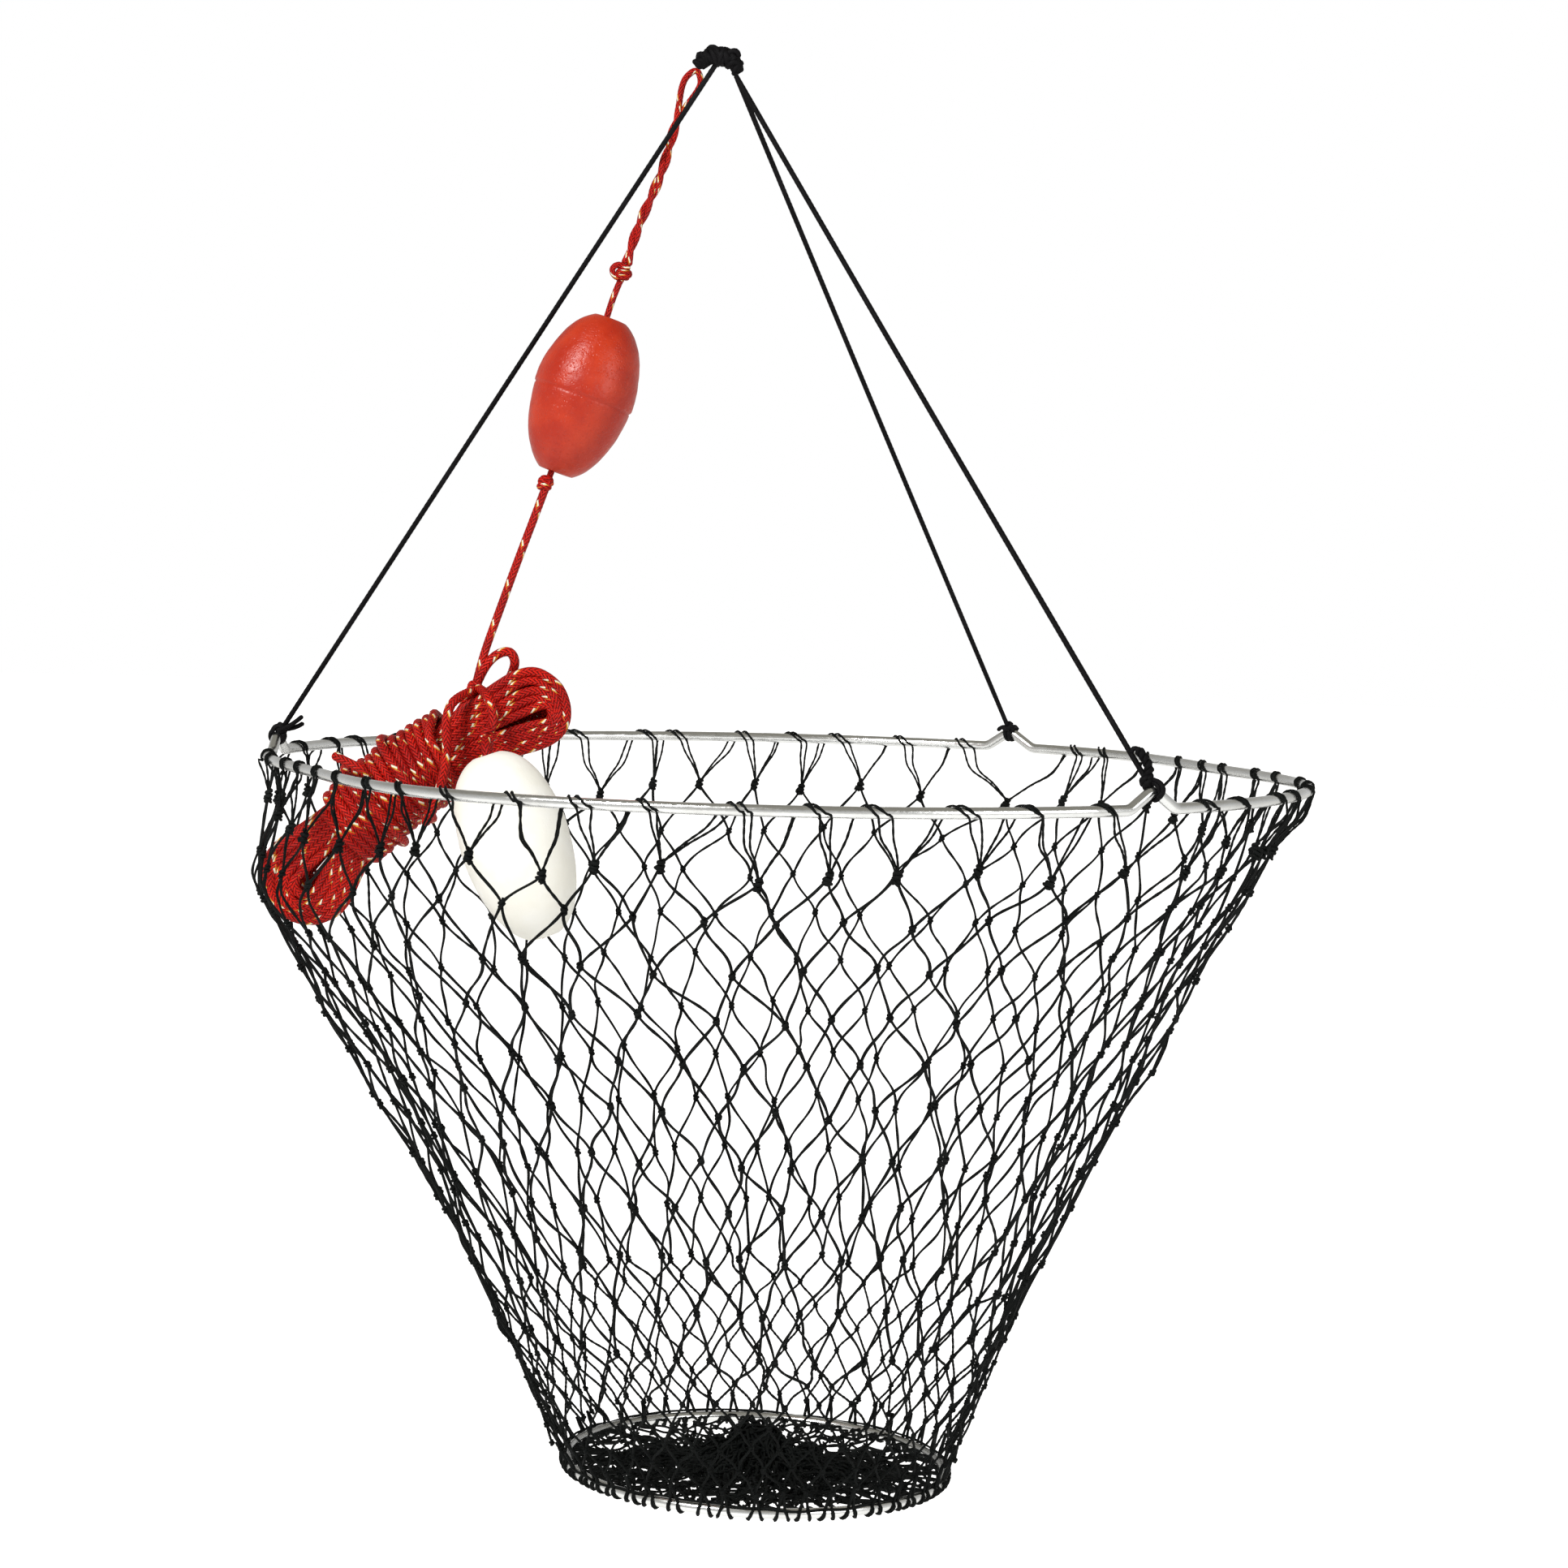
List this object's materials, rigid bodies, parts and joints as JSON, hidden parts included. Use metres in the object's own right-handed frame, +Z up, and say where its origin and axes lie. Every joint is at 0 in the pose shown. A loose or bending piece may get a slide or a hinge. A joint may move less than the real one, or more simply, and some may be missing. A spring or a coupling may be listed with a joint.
{
  "type": "folding crab trap",
  "caption": "Collapsible drop net for crabs: a knotted net basket between wire rings, hung on a cord bridle, with a float line stowed as a hank and foam floats.",
  "frame": {"origin": "the point under the crown of the top knot where a hook holds the trap", "axes": "+Z up, parallel to the axis of the top ring; +X away from the stowed hank"},
  "size_m": [0.599, 0.6099, 0.8134],
  "materials": {
    "wire": "satin",
    "net_twine": "matte",
    "bridle_cord": "matte",
    "float_rope": "satin",
    "red_foam": "satin",
    "white_foam": "satin"
  },
  "bodies": {
    "bridle_top": {"apex_knot": "bridle_cord", "bridle_line_left": "bridle_cord", "bridle_line_back": "bridle_cord", "bridle_line_front": "bridle_cord"},
    "rim": {"top_ring": "wire", "net_wall": "net_twine", "head_loops": "net_twine", "bridle_knot_left": "bridle_cord", "bridle_knot_back": "bridle_cord", "bridle_knot_front": "bridle_cord", "rope_hank": "float_rope", "hank_wrap": "float_rope", "hank_tie": "float_rope", "float_line_lower": "float_rope"},
    "base": {"base_ring": "wire", "net_base": "net_twine", "gather_knot": "net_twine", "base_lacing": "net_twine"},
    "float_line": {"stopper_knot": "float_rope", "float_line_upper": "float_rope", "eye_knot": "float_rope", "float_line_eye": "float_rope"},
    "red_float_body": {"red_float": "red_foam"},
    "white_float_body": {"white_float": "white_foam", "white_float_cord": "float_rope", "white_float_knot": "float_rope"}
  },
  "joints": [
    {"name": "bridle_drop", "type": "slide", "parent": "bridle_top", "child": "rim", "axis": [0, 0, 1], "range_m": [0, 0.27], "deforming": ["bridle_line_left", "bridle_line_back", "bridle_line_front"]},
    {"name": "basket_fold", "type": "slide", "parent": "rim", "child": "base", "axis": [0, 0, 1], "range_m": [0, 0.285], "deforming": ["net_wall"]},
    {"name": "float_line_fold", "type": "hinge", "parent": "rim", "child": "float_line", "pos_m": [-0.29125, -0.01946, -0.144], "axis": [-0.1198, 0.9928, 0], "range_deg": [0, 51.8], "deforming": ["float_line_lower"]},
    {"name": "float_slide", "type": "slide", "parent": "float_line", "child": "red_float_body", "axis": [0.3197, 0.0371, 0.9468], "range_m": [0, 0.0175]},
    {"name": "white_float_swing", "type": "hinge", "parent": "rim", "child": "white_float_body", "pos_m": [-0.121, -0.027, -0.38], "axis": [-0.8437, -0.5369, 0], "range_deg": [0, 25]}
  ],
  "couplings": [
    {"joint": "float_line_fold", "follows": "bridle_drop", "rad_per_m": 3.3355}
  ]
}
